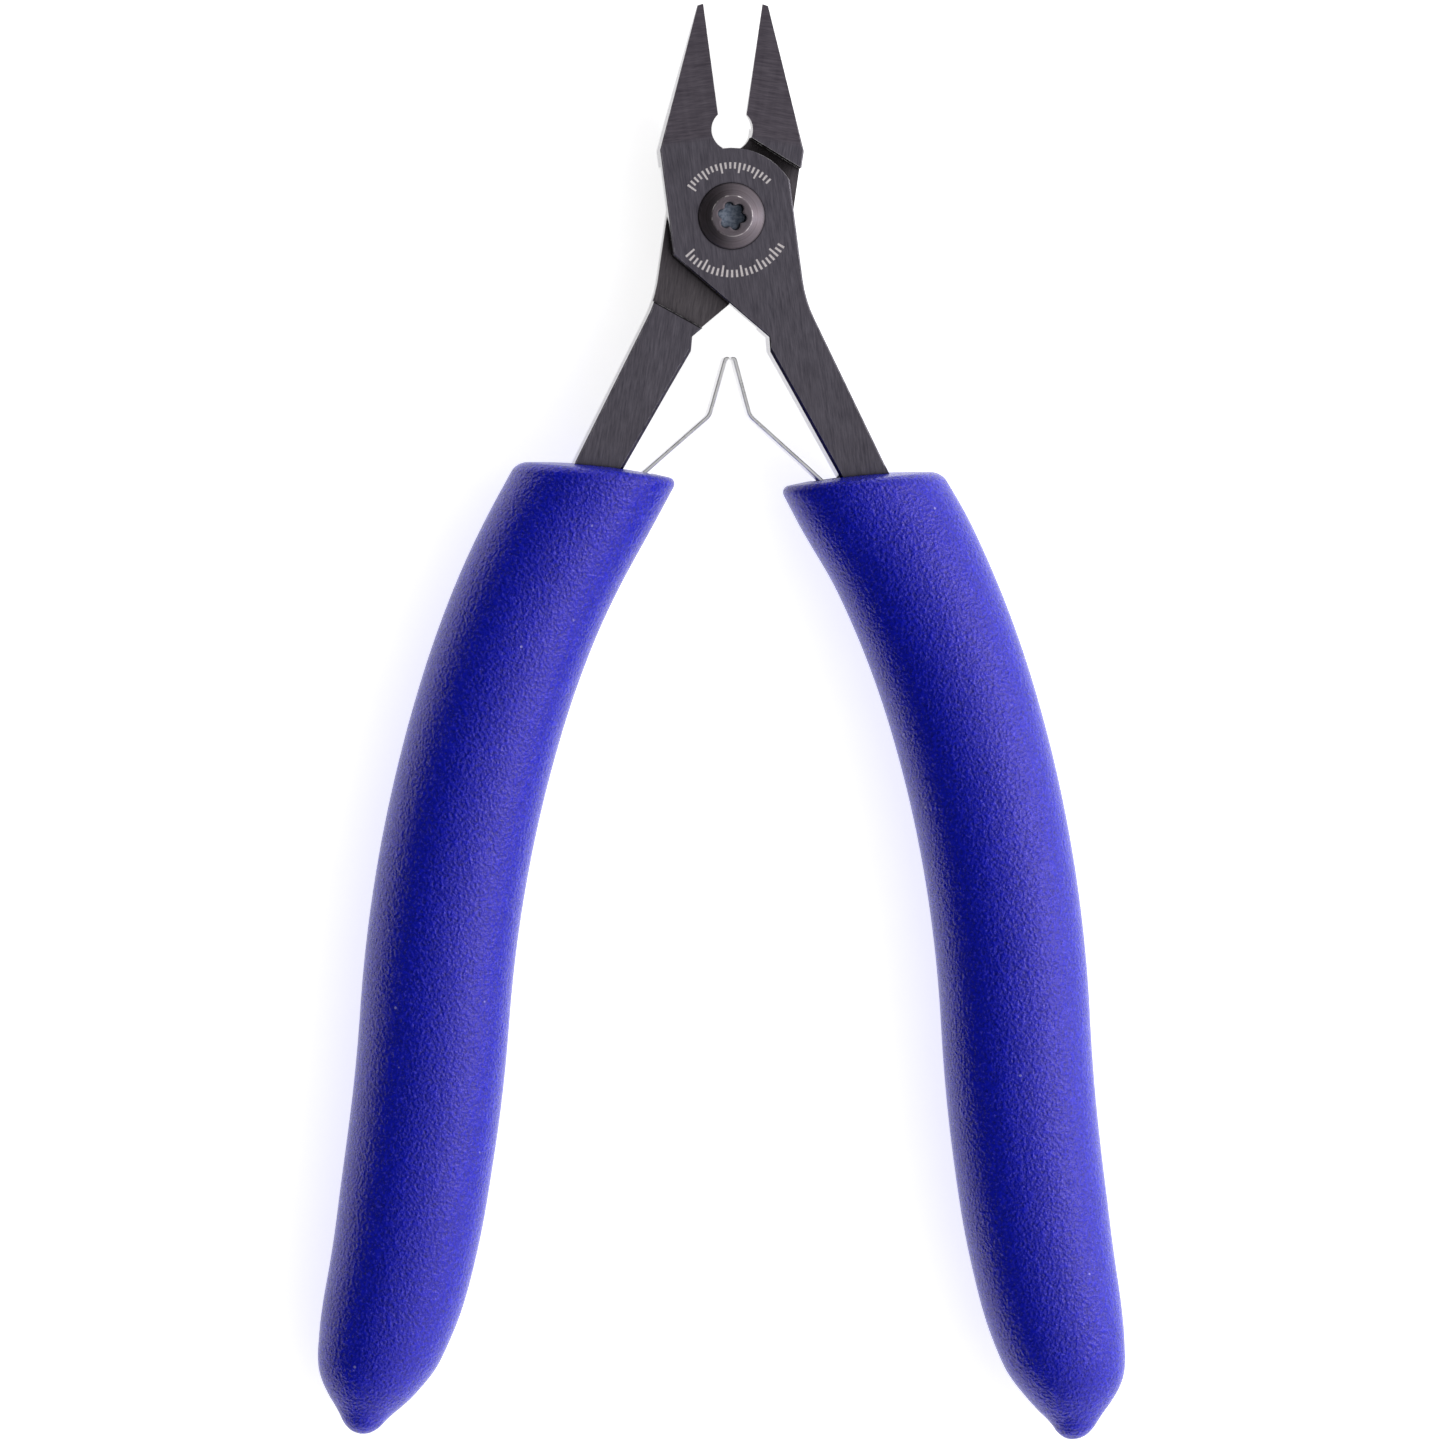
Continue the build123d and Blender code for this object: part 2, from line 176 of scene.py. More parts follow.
# Ticks on the front face, in two arcs round the screw: side of the screw, middle and half of the arc in
# radians, inner and outer radius, and count. Three of four ticks start farther out, by TICK_SHORTER.
TICK_ARCS = [
    (1, -0.08, 0.93, 4.4, 5.45, 20),
    (-1, 0.1, 0.98, 5.05, 6.2, 23),
]
TICK_SHORTER = 0.4

# Colours, darkest tone first where there are two.
HANDLE_TONES = ((0.083, 0.076, 0.096), (0.168, 0.154, 0.186))
JAW_TONES = ((0.085, 0.073, 0.092), (0.158, 0.138, 0.166))
LAP_TONES = ((0.08, 0.07, 0.073), (0.165, 0.146, 0.15))
STEEL_STAIN = (0.085, 0.074, 0.09)
# Painted shade for the steel's narrow gaps and corners and the foot of the rear half's step.
STEEL_PAINTED_SHADE = (0.007, 0.006, 0.006)
# Light colour of worn edges, which also paints their bright edge highlight.
STEEL_WEAR_AND_EDGE_HIGHLIGHT = (0.8, 0.78, 0.8)
TICK_COLOUR = (0.84, 0.78, 0.79)
GRIP_TONES = ((0.002, 0.008, 0.33), (0.006, 0.013, 0.66))
GRIP_PATCH = (0.003, 0.008, 0.44)
# Painted glints: light flecks standing in for small highlights.
GRIP_GLINT = (0.07, 0.07, 0.8)
# Painted shade in the grain's pits.
GRIP_PIT_SHADE = (0.001, 0.004, 0.2)
GRIP_SPECK = (0.42, 0.4, 0.85)
SCREW_TONES = ((0.125, 0.104, 0.117), (0.2, 0.172, 0.194))
SCREW_CLOUD = (0.155, 0.143, 0.168)
RECESS_TONES = ((0.1, 0.125, 0.17), (0.2, 0.225, 0.28))
# Painted shade round the foot of the screw's head and in its recess.
SCREW_PAINTED_SHADE = (0.01, 0.009, 0.012)
# A worn rim of the head's top, partly a painted highlight.
SCREW_BURR_AND_RIM_HIGHLIGHT = (1.0, 0.93, 0.94)
SPRING_TONES = ((0.74, 0.74, 0.745), (0.92, 0.92, 0.92))
SPRING_CLOUD = (0.66, 0.65, 0.66)
RIVET_TONES = ((0.28, 0.27, 0.28), (0.46, 0.45, 0.46))
FLOOR_TONES = ((0.84, 0.84, 0.845), (0.87, 0.87, 0.872))

# Floor, light and camera.
FLOOR_GAP = 0.02
FLOOR_HALF = 1500.0
FLOOR_GLOW = 0.8
KEY_PLACE = (430, -20, 300)
KEY_TARGET = (0, -50, 0)
KEY_SIZE = (160, 420)
KEY_WATTS = 0.8
CAMERA_BACK = (-0.0626, 0.0146, 1.0)
CAMERA_LEAN = math.radians(0.38)
CAMERA_CENTRE = (-0.39, -51.58, MID_Z)
CAMERA_DISTANCE = 1500.0
CAMERA_SENSOR = 36.0
FRAME_WIDTH = 147.39


# ---- geometry helpers ----

def place(distance, offset=0.0):
    """Point beside the closed handle's centreline, and the heading there in radians."""
    x, y = HANDLE_START
    heading = math.radians(HANDLE_HEADING)
    last = len(HANDLE_STRETCHES) - 1
    for index, (length, turn) in enumerate(HANDLE_STRETCHES):
        run = distance if index == last else min(distance, length)
        bend = math.radians(turn) / length
        turned = heading + bend * run
        if bend:
            x += (math.cos(heading) - math.cos(turned)) / bend
            y -= (math.sin(turned) - math.sin(heading)) / bend
        else:
            x += run * math.sin(heading)
            y -= run * math.cos(heading)
        heading = turned
        distance -= run
        if distance <= 0:
            break
    return x + offset * math.cos(heading), y + offset * math.sin(heading), heading


def opened(x, y):
    """A point of the closed right handle when the tool is open."""
    c, s = math.cos(HALF_OPEN), math.sin(HALF_OPEN)
    return x * c - y * s, x * s + y * c


def smooth_value(table, x):
    """Smooth curve through (x, value) pairs given in falling x."""
    points = sorted(table)
    if x <= points[0][0]:
        return points[0][1]
    if x >= points[-1][0]:
        return points[-1][1]
    for i in range(len(points) - 1):
        if points[i][0] <= x <= points[i + 1][0]:
            break

    def slope(k):
        if k == 0 or k == len(points) - 1:
            return 0.0 if k else (points[1][1] - points[0][1]) / (points[1][0] - points[0][0])
        a = (points[k][1] - points[k - 1][1]) / (points[k][0] - points[k - 1][0])
        b = (points[k + 1][1] - points[k][1]) / (points[k + 1][0] - points[k][0])
        return 0.0 if a * b <= 0 else 2 * a * b / (a + b)

    (x0, y0), (x1, y1) = points[i], points[i + 1]
    h = x1 - x0
    t = (x - x0) / h
    a = (1 + 2 * t) * (1 - t) ** 2 * y0 + t * (1 - t) ** 2 * h * slope(i)
    return a + t * t * (3 - 2 * t) * y1 + t * t * (t - 1) * h * slope(i + 1)


def new_object(name, verts, faces, smooth=True):
    """A mesh object in the scene, from points in millimetres."""
    mesh = bpy.data.meshes.new(name)
    mesh.from_pydata([tuple(c * MM for c in v) for v in verts], [], faces)
    mesh.validate()
    mesh.update()
    work = bmesh.new()
    work.from_mesh(mesh)
    bmesh.ops.recalc_face_normals(work, faces=work.faces)
    work.to_mesh(mesh)
    work.free()
    mesh.polygons.foreach_set("use_smooth", [smooth] * len(mesh.polygons))
    obj = bpy.data.objects.new(name, mesh)
    bpy.context.scene.collection.objects.link(obj)
    return obj


def ring_faces(rings, sides):
    """The quads between rings of points that follow one another."""
    faces = []
    for r in range(rings - 1):
        for k in range(sides):
            a = r * sides + k
            b = r * sides + (k + 1) % sides
            faces.append((a, b, b + sides, a + sides))
    return faces


def sharpen(obj, degrees):
    """Sharp shading over edges steeper than this."""
    obj.data.set_sharp_from_angle(angle=math.radians(degrees))


def mirrored(points):
    return [(-x, y, z) for x, y, z in points]


# ---- materials ----

class Look:
    """A material with one Principled shader and short calls for its nodes."""

    def __init__(self, name):
        self.material = bpy.data.materials.new(name)
        self.material.use_nodes = True
        self.tree = self.material.node_tree
        self.tree.nodes.clear()
        self.shader = self.tree.nodes.new("ShaderNodeBsdfPrincipled")
        out = self.tree.nodes.new("ShaderNodeOutputMaterial")
        self.tree.links.new(self.shader.outputs[0], out.inputs["Surface"])
        coordinates = self.tree.nodes.new("ShaderNodeTexCoord")
        self.place = self.scaled(coordinates.outputs["Object"], (1000, 1000, 1000))

    def put(self, value, socket):
        if isinstance(value, bpy.types.NodeSocket):
            self.tree.links.new(value, socket)
        else:
            socket.default_value = value

    def set(self, **values):
        for name, value in values.items():
            self.put(value, self.shader.inputs[name.replace("_", " ")])

    def scaled(self, vector, scale, turn=0.0):
        """The vector turned about Z by some radians, then scaled along each axis."""
        if turn:
            rotate = self.tree.nodes.new("ShaderNodeVectorRotate")
            rotate.rotation_type = "Z_AXIS"
            rotate.inputs["Angle"].default_value = turn
            self.put(vector, rotate.inputs["Vector"])
            vector = rotate.outputs[0]
        node = self.tree.nodes.new("ShaderNodeVectorMath")
        node.operation = "MULTIPLY"
        self.put(vector, node.inputs[0])
        node.inputs[1].default_value = scale
        return node.outputs[0]

    def noise(self, vector, scale=1.0, detail=2.0, rough=0.5):
        node = self.tree.nodes.new("ShaderNodeTexNoise")
        self.put(vector, node.inputs["Vector"])
        node.inputs["Scale"].default_value = scale
        node.inputs["Detail"].default_value = detail
        node.inputs["Roughness"].default_value = rough
        return node.outputs["Fac"]

    def cells(self, vector, scale=1.0):
        node = self.tree.nodes.new("ShaderNodeTexVoronoi")
        self.put(vector, node.inputs["Vector"])
        node.inputs["Scale"].default_value = scale
        return node.outputs["Distance"]

    def math(self, operation, a, b=0.0):
        node = self.tree.nodes.new("ShaderNodeMath")
        node.operation = operation
        for value, socket in zip((a, b), node.inputs):
            self.put(value, socket)
        return node.outputs[0]

    def product(self, first, *rest):
        """All the values multiplied together."""
        for value in rest:
            first = self.math("MULTIPLY", first, value)
        return first

    def length(self, a, b):
        """Length of the two sides of a right angle."""
        return self.math("SQRT", self.math("ADD", self.product(a, a), self.product(b, b)))

    def ramp(self, value, low, high, out_low=0.0, out_high=1.0, smooth=True):
        node = self.tree.nodes.new("ShaderNodeMapRange")
        node.interpolation_type = "SMOOTHSTEP" if smooth else "LINEAR"
        for item, name in (
            (value, "Value"),
            (low, "From Min"),
            (high, "From Max"),
            (out_low, "To Min"),
            (out_high, "To Max"),
        ):
            self.put(item, node.inputs[name])
        return node.outputs[0]

    def mix(self, factor, a, b):
        node = self.tree.nodes.new("ShaderNodeMix")
        node.data_type = "RGBA"
        self.put(factor, node.inputs["Factor"])
        for value, socket in ((a, node.inputs[6]), (b, node.inputs[7])):
            self.put(value if isinstance(value, bpy.types.NodeSocket) else (*value, 1), socket)
        return node.outputs[2]

    def split(self, vector):
        node = self.tree.nodes.new("ShaderNodeSeparateXYZ")
        self.put(vector, node.inputs[0])
        return node.outputs

    def bump(self, height, distance_mm, strength=1.0):
        node = self.tree.nodes.new("ShaderNodeBump")
        node.inputs["Strength"].default_value = strength
        node.inputs["Distance"].default_value = distance_mm * MM
        self.put(height, node.inputs["Height"])
        return node.outputs[0]

    def tones(self, factor, pair):
        """The colour between a dark and a light one."""
        return self.mix(factor, *pair)

    def mix_value(self, factor, a, b):
        return self.ramp(factor, 0.0, 1.0, a, b, smooth=False)

    def crevices(self, reach_mm, start=0.62, full=0.25):
        """0 in the open, rising to 1 deep in narrow gaps."""
        node = self.tree.nodes.new("ShaderNodeAmbientOcclusion")
        node.samples = 6
        node.inputs["Distance"].default_value = reach_mm * MM
        return self.ramp(node.outputs["AO"], start, full)

    def edges(self, radius_mm):
        """0 on flat surfaces, rising to 1 on sharp edges."""
        bevel = self.tree.nodes.new("ShaderNodeBevel")
        bevel.samples = 4
        bevel.inputs["Radius"].default_value = radius_mm * MM
        here = self.tree.nodes.new("ShaderNodeNewGeometry")
        dot = self.tree.nodes.new("ShaderNodeVectorMath")
        dot.operation = "DOT_PRODUCT"
        self.put(bevel.outputs[0], dot.inputs[0])
        self.put(here.outputs["True Normal"], dot.inputs[1])
        return self.ramp(dot.outputs["Value"], 0.995, 0.8)


def steel_look(name, side):
    """Dark brushed steel of one half. side is 1 for the front half, whose handle is on the right."""
    look = Look(name)
    along = look.scaled(look.place, (1, 1, 1), -side * HALF_OPEN)
    x, y, z = look.split(along)
    cloud = look.noise(look.place, 0.22, 2)
    grain, colour = brushed(look, along, side)
    stain = look.ramp(cloud, 0.35, 0.7, 0.0, 0.14)
    colour = look.mix(stain, colour, STEEL_STAIN)
    # Painted shade: the colour darkens in narrow gaps and corners, where shade falls, and along the step's
    # foot.
    dark = look.math("MAXIMUM", look.crevices(2.2), look.crevices(0.5, 0.8, 0.5))
    if side < 0:
        dark = look.math("MAXIMUM", dark, look.math("MULTIPLY", step_shade_line(look, x, y), 0.9))
    dark = look.math("MULTIPLY", dark, look.ramp(z, 2.6, 3.1))
    colour = look.mix(dark, colour, STEEL_PAINTED_SHADE)
    if side > 0:
        colour = look.mix(ticks(look), colour, TICK_COLOUR)
    # Worn edges, partly a painted highlight: sharp edges are lightened in patches for wear and for the
    # bright reflections along them.
    wear_and_edge_highlight = look.math("MULTIPLY", look.edges(0.1), look.ramp(look.noise(look.place, 1.1, 3), 0.3, 0.6))
    colour = look.mix(look.math("MULTIPLY", wear_and_edge_highlight, 0.85), colour, STEEL_WEAR_AND_EDGE_HIGHLIGHT)
    look.set(Base_Color=colour, Metallic=1.0)
    here = look.tree.nodes.new("ShaderNodeNewGeometry")
    flat = look.ramp(look.math("ABSOLUTE", look.split(here.outputs["True Normal"])[2]), 0.3, 0.6)
    rough = look.ramp(grain, 0.25, 0.75, 0.34, 0.42, smooth=False)
    look.set(Roughness=look.mix_value(flat, 0.16, rough))
    height = look.math("ADD", grain, look.math("MULTIPLY", cloud, 0.4))
    look.set(Normal=look.bump(height, 0.006, 0.4))
    return look.material


def brushed(look, along, side):
    """Brush marks along the handle and across the jaw, and the steel's colour with them."""
    fine = look.noise(look.scaled(along, (5.4, 0.45, 5.0)), detail=3, rough=0.7)
    broad = look.noise(look.scaled(along, (1.5, 0.09, 2.0)), detail=2)
    cross = look.noise(look.scaled(along, (0.45, 5.2, 0.6)), detail=3, rough=0.7)
    y, z = look.split(along)[1:]
    on_jaw = look.ramp(y, 7.7, 8.6)
    grain = look.mix_value(on_jaw, fine, cross)
    tone = look.math("ADD", look.math("MULTIPLY", grain, 0.8), look.math("MULTIPLY", broad, 0.2))
    tone = look.ramp(tone, 0.33, 0.67, smooth=False)
    colour = look.tones(tone, HANDLE_TONES)
    colour = look.mix(on_jaw, colour, look.tones(tone, JAW_TONES))
    if side < 0:
        near = look.math("LESS_THAN", look.math("ABSOLUTE", y), STEP_DISTANCE + 1)
        lap_floor = look.math("MULTIPLY", look.ramp(z, 3.15, 3.25, 1.0, 0.0), near)
        colour = look.mix(lap_floor, colour, look.tones(tone, LAP_TONES))
    return grain, colour


def step_shade_line(look, x, y):
    """1 along the foot of the rear half's step, where the two halves meet, for a painted shade line there.
    """
    slope = math.radians(STEP_SLOPE)
    across = look.math("MULTIPLY", x, math.sin(slope))
    past = look.math("ADD", across, look.math("MULTIPLY", y, math.cos(slope)))
    return look.ramp(look.math("ABSOLUTE", look.math("ADD", past, STEP_DISTANCE)), 0.2, 0.11)


def ticks(look):
    """1 on plain tick dashes in the arcs round the screw, on the front face."""
    across, up, height = look.split(look.place)
    radius = look.length(across, up)
    marks = 0.0
    for sign, middle, half_angle, inner, outer, count in TICK_ARCS:
        angle = look.math("ARCTAN2", across, look.math("MULTIPLY", up, sign))
        angle = look.math("SUBTRACT", angle, middle)
        share = look.math("MULTIPLY", look.math("ADD", angle, half_angle), count / (2 * half_angle))
        saw = look.math("ABSOLUTE", look.math("SUBTRACT", look.math("FRACT", share), 0.5))
        dash = look.ramp(saw, 0.19, 0.25, 1.0, 0.0)
        place_in_four = look.math("FRACT", look.math("DIVIDE", look.math("FLOOR", share), 4.0))
        short = look.math("GREATER_THAN", place_in_four, 0.1)
        start = look.math("ADD", look.math("MULTIPLY", short, TICK_SHORTER), inner)
        band = look.product(
            look.ramp(look.math("SUBTRACT", radius, start), 0.0, 0.06),
            look.ramp(radius, outer, outer + 0.06, 1.0, 0.0),
        )
        inside = look.math("LESS_THAN", look.math("ABSOLUTE", angle), half_angle)
        marks = look.math("MAXIMUM", marks, look.product(dash, band, inside))
    on_face = look.math("GREATER_THAN", height, THICKNESS - 0.05)
    speckle = look.ramp(look.noise(look.place, 9.0, 2), 0.25, 0.6, 0.75, 1.0)
    return look.product(marks, on_face, speckle)


def grip_look(name):
    """Cushion grip: saturated blue-violet with a fine pebble grain, painted glints and painted shade in the
    grain's pits.
    """
    look = Look(name)
    pebble = look.cells(look.place, 2.7)
    grain = look.noise(look.place, 3.2, 2, 0.6)
    height = look.math("ADD", look.math("MULTIPLY", pebble, 0.5), grain)
    depth = look.ramp(height, 0.5, 1.0, smooth=False)
    colour = look.tones(depth, GRIP_TONES)
    patch = look.ramp(look.noise(look.place, 0.5, 3), 0.35, 0.68, 0.0, 0.3)
    colour = look.mix(patch, colour, GRIP_PATCH)
    # Painted glints: light flecks in the colour stand in for small highlights.
    glint = look.ramp(look.noise(look.place, 3.3, 2, 0.6), 0.56, 0.72)
    colour = look.mix(look.math("MULTIPLY", glint, 0.75), colour, GRIP_GLINT)
    # Painted shade: dark flecks stand in for shade in the grain's pits.
    pit_shade = look.ramp(look.noise(look.scaled(look.place, (1, 1.1, 0.9)), 2.9, 2, 0.6), 0.44, 0.28)
    colour = look.mix(look.math("MULTIPLY", pit_shade, 0.7), colour, GRIP_PIT_SHADE)
    specks = look.ramp(look.cells(look.place, 0.42), 0.075, 0.04)
    specks = look.math("MULTIPLY", specks, look.ramp(look.noise(look.place, 0.9, 1), 0.52, 0.6))
    colour = look.mix(look.math("MULTIPLY", specks, 0.7), colour, GRIP_SPECK)
    look.set(Base_Color=colour, Roughness=look.ramp(height, 0.5, 1.0, 0.3, 0.2, smooth=False))
    look.set(IOR=1.5, Specular_Tint=(1.0, 0.8, 1.0, 1.0))
    look.set(Normal=look.bump(height, 0.13, 0.9))
    return look.material


def screw_look(name):
    """Turned steel with a bronze-violet oxide, blue-grey in the recess; painted shade round the head's foot
    and in the recess, and a worn rim with a painted highlight.
    """
    look = Look(name)
    x, y, z = look.split(look.place)
    radius = look.length(x, y)
    turned = look.math("ADD", look.math("MULTIPLY", radius, 7.0), look.math("MULTIPLY", z, 2.0))
    rings = look.noise(turned, 1.0, 3, 0.7)
    cloud = look.noise(look.place, 0.8, 3)
    colour = look.tones(look.ramp(rings, 0.3, 0.7, smooth=False), SCREW_TONES)
    colour = look.mix(look.ramp(cloud, 0.4, 0.7, 0.0, 0.4), colour, SCREW_CLOUD)
    deep = look.math("MULTIPLY", look.ramp(radius, 1.6, 1.5), look.ramp(z, HEAD_TOP - 0.1, HEAD_TOP - 0.3))
    blotch = look.ramp(look.noise(look.place, 3.2, 3, 0.6), 0.35, 0.65)
    colour = look.mix(deep, colour, look.tones(blotch, RECESS_TONES))
    # Painted shade: a dark ring at the foot of the head, and darkening in the recess's corners.
    base = look.math("MULTIPLY", look.ramp(radius, HEAD_RADIUS - 0.12, HEAD_RADIUS), 0.75)
    dark = look.math("MAXIMUM", base, look.crevices(0.32, 0.72, 0.5))
    colour = look.mix(dark, colour, SCREW_PAINTED_SHADE)
    # A worn rim on the flat top, lightened towards the upper left, partly a painted highlight.
    rim = look.ramp(look.math("ABSOLUTE", look.math("SUBTRACT", radius, TOP_RADIUS - 0.02)), 0.075, 0.03)
    rim = look.math("MULTIPLY", rim, look.ramp(look.noise(look.place, 1.6, 3, 0.6), 0.42, 0.58, 0.12, 0.9))
    rim = look.math("MULTIPLY", rim, look.ramp(look.math("SUBTRACT", y, x), 0.2, 1.6, 0.3, 1.0))
    rim = look.math("MULTIPLY", rim, look.ramp(z, HEAD_TOP - 0.2, HEAD_TOP - 0.12))
    colour = look.mix(rim, colour, SCREW_BURR_AND_RIM_HIGHLIGHT)
    look.set(Base_Color=colour, Metallic=1.0)
    look.set(Roughness=look.ramp(rings, 0.3, 0.7, 0.42, 0.52, smooth=False))
    look.set(Normal=look.bump(rings, 0.01, 0.5))
    return look.material


def leaf_look(name):
    """Bare spring steel with fine roll marks."""
    look = Look(name)
    rolled = look.noise(look.scaled(look.place, (0.4, 0.4, 7.0)), detail=3, rough=0.6)
    cloud = look.noise(look.place, 0.9, 2)
    colour = look.tones(look.ramp(rolled, 0.3, 0.7, smooth=False), SPRING_TONES)
    colour = look.mix(look.ramp(cloud, 0.45, 0.7, 0.0, 0.3), colour, SPRING_CLOUD)
    look.set(Base_Color=colour, Metallic=1.0)
    look.set(Roughness=look.ramp(rolled, 0.3, 0.7, 0.22, 0.36, smooth=False))
    look.set(Normal=look.bump(rolled, 0.008, 0.5))
    return look.material


def rivet_look(name):
    """Worn bare steel."""
    look = Look(name)
    worn = look.noise(look.place, 2.2, 3)
    colour = look.tones(look.ramp(worn, 0.35, 0.65), RIVET_TONES)
    look.set(Base_Color=colour, Metallic=1.0, Roughness=look.ramp(worn, 0.3, 0.7, 0.3, 0.5))
    look.set(Normal=look.bump(worn, 0.02, 0.4))
    return look.material


def floor_look(name):
    """Pale paper that glows faintly, so that it stays nearly white."""
    look = Look(name)
    paper = look.noise(look.place, 0.35, 3)
    colour = look.tones(look.ramp(paper, 0.3, 0.7), FLOOR_TONES)
    look.set(Base_Color=colour, Roughness=0.85, Specular_IOR_Level=0.2)
    look.set(Emission_Color=(1, 1, 1, 1), Emission_Strength=FLOOR_GLOW)
    return look.material


# ---- grips ----

def grip_section(width, depth, angle):
    """Offset across and height above the middle of an oval, a little fuller than an ellipse."""
    c, s = math.cos(angle), math.sin(angle)
    power = 2 / GRIP_FULLNESS
    across = math.copysign(abs(c) ** power, c) * width
    rise = math.copysign(abs(s) ** power, s) * depth
    return across, rise


def grip_mesh(fit):
    """Rings of the open right grip from the middle of its flat top to its rounded tip."""
    heading = math.radians(HANDLE_HEADING)
    top_y = GRIP_TOP_Y + fit["raised"]
    end = HANDLE_LENGTH
    angles = [2 * math.pi * k / GRIP_SIDES for k in range(GRIP_SIDES)]

    def beside(distance, across):
        return place(distance, across + smooth_value(fit["lean"], end - distance))

    def top_start(across):
        return (HANDLE_START[1] - top_y + across * math.sin(heading)) / math.cos(heading)

    def top_point(across, rise, below):
        """A point under the flat top, which is cut square to the closed tool."""
        return beside(top_start(across) + below / math.cos(heading), across), rise

    def crown(across, rise):
        """How far the top face stands above its rim, with a slight slope to the outside."""
        rho = (across / GRIP_HALF_WIDTH) ** 2 + (rise / GRIP_HALF_DEPTH) ** 2
        return GRIP_CROWN * max(0.0, 1 - rho) - fit["slope"] * across

    verts = []
    rings = 0

    def add_ring(width, depth, spot_of, share=1.0):
        """One ring of the section, where spot_of gives a point of the closed handle and a height."""
        nonlocal rings
        for angle in angles:
            across, rise = grip_section(width, depth, angle)
            spot, height = spot_of(across * share, rise * share)
            verts.append((*opened(*spot[:2]), MID_Z + height))
        rings += 1

    for share in GRIP_TOP_SHARES:
        add_ring(
            GRIP_HALF_WIDTH,
            GRIP_HALF_DEPTH,
            lambda across, rise: top_point(across, rise, GRIP_TOP_INSET - crown(across, rise)),
            share,
        )
    for step in range(GRIP_RIM_RINGS):
        turn = math.pi / 2 * step / (GRIP_RIM_RINGS - 1)
        inset = GRIP_RIM * (1 - math.sin(turn))
        drop = GRIP_RIM * (1 - math.cos(turn))
        add_ring(
            GRIP_HALF_WIDTH - inset,
            GRIP_HALF_DEPTH - inset,
            lambda across, rise: top_point(across, rise, GRIP_TOP_INSET - crown(across, rise) + drop),
        )
    for step in range(GRIP_SWING_RINGS):
        share = (step + 1) / GRIP_SWING_RINGS

        def swing_spot(across, rise):
            first = top_start(across) + GRIP_SWING_START / math.cos(heading)
            return beside(first + (GRIP_SWING_END - first) * share, across), rise

        add_ring(GRIP_HALF_WIDTH, GRIP_HALF_DEPTH, swing_spot)
    distance = GRIP_SWING_END
    while distance < end:
        distance = min(distance + ring_step(end - distance), end)
        width = smooth_value(GRIP_HALF_WIDTHS, end - distance)
        depth = width * (GRIP_HALF_DEPTH / GRIP_HALF_WIDTH)
        add_ring(width, depth, lambda across, rise: (beside(distance, across), rise))
    return verts, rings


def ring_step(left):
    """Spacing of the grip's rings, finer towards its rounded end."""
    return 0.7 if left > 20 else max(0.045, min(0.7, 0.028 * left + 0.09))


def undulate(points):
    """Soft unevenness of a moulded cushion, inwards only."""
    out = []
    for x, y, z in points:
        wave = noise.noise(Vector((x, y, z)) * 0.16) + 0.5 * noise.noise(Vector((x, y, z)) * 0.45)
        out.append((x, y, MID_Z + (z - MID_Z) * (1 - 0.006 * (1 + wave))))
    return out


def make_grip(name, body, node, flip):
    """The cushion of one grip. The left one is the right one mirrored, with its own fit."""
    fit = GRIP_FITS["left" if flip else "right"]
    verts, rings = grip_mesh(fit)
    verts = undulate(verts)
    if flip:
        verts = mirrored(verts)
    verts = [(x + fit["shift"][0], y + fit["shift"][1], z) for x, y, z in verts]
    faces = ring_faces(rings, GRIP_SIDES)
    faces.append(tuple(range(GRIP_SIDES)))
    faces.append(tuple(range((rings - 1) * GRIP_SIDES, rings * GRIP_SIDES)))
    grip = new_object(name, verts, faces)
    cut_mouth(grip, flip)
    sharpen(grip, 50)
    grip.data.materials.append(looks["grip"])
    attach(grip, body)
    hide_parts(node)


def cut_mouth(grip, flip):
    """The slot in the grip's top that the leaf swings in."""
    outline = []
    for distance, offset in (
        (LEAF_BEND_S - MOUTH_OUT_OF_GRIP, MOUTH_INTO_TANG - TANG_HALF),
        (LEAF_BEND_S + MOUTH_INTO_GRIP, MOUTH_INTO_TANG - TANG_HALF),
        (LEAF_BEND_S + MOUTH_INTO_GRIP, -MOUTH_OFF_TANG - TANG_HALF),
    ):
        outline.append(opened(*place(distance, offset)[:2]))
    bend = Vector(opened(*place(LEAF_BEND_S, -TANG_HALF)[:2]))
    along = (Vector(LEAF_KNEE) - bend).normalized()
    outward = Vector((-along.y, along.x))
    if outward.x > 0:
        outward = -outward
    near, far = MOUTH_REACH
    for reach, side in ((near, MOUTH_OUTSIDE), (far, MOUTH_OUTSIDE), (far, -MOUTH_INSIDE)):
        p = bend + along * reach + outward * side
        outline.append((p.x, p.y))
    half = LEAF_WIDTH / 2 + MOUTH_CLEARANCE
    verts = [(x, y, MID_Z - half) for x, y in outline] + [(x, y, MID_Z + half) for x, y in outline]
    if flip:
        verts = mirrored(verts)
    n = len(outline)
    faces = [tuple(range(n)), tuple(range(n, 2 * n))]
    faces += [(i, (i + 1) % n, n + (i + 1) % n, n + i) for i in range(n)]
    tool = new_object("mouth_tool", verts, faces, smooth=False)
    cut = grip.modifiers.new("mouth", "BOOLEAN")
    cut.operation = "DIFFERENCE"
    cut.solver = "EXACT"
    cut.object = tool
    apply_modifiers(grip)
    bpy.data.objects.remove(tool)


def apply_modifiers(obj):
    """Swap the object's mesh for the one its modifiers make."""
    bpy.context.view_layer.update()
    ready = obj.evaluated_get(bpy.context.evaluated_depsgraph_get())
    mesh = bpy.data.meshes.new_from_object(ready)
    obj.modifiers.clear()
    obj.data = mesh


# ---- leaf springs ----

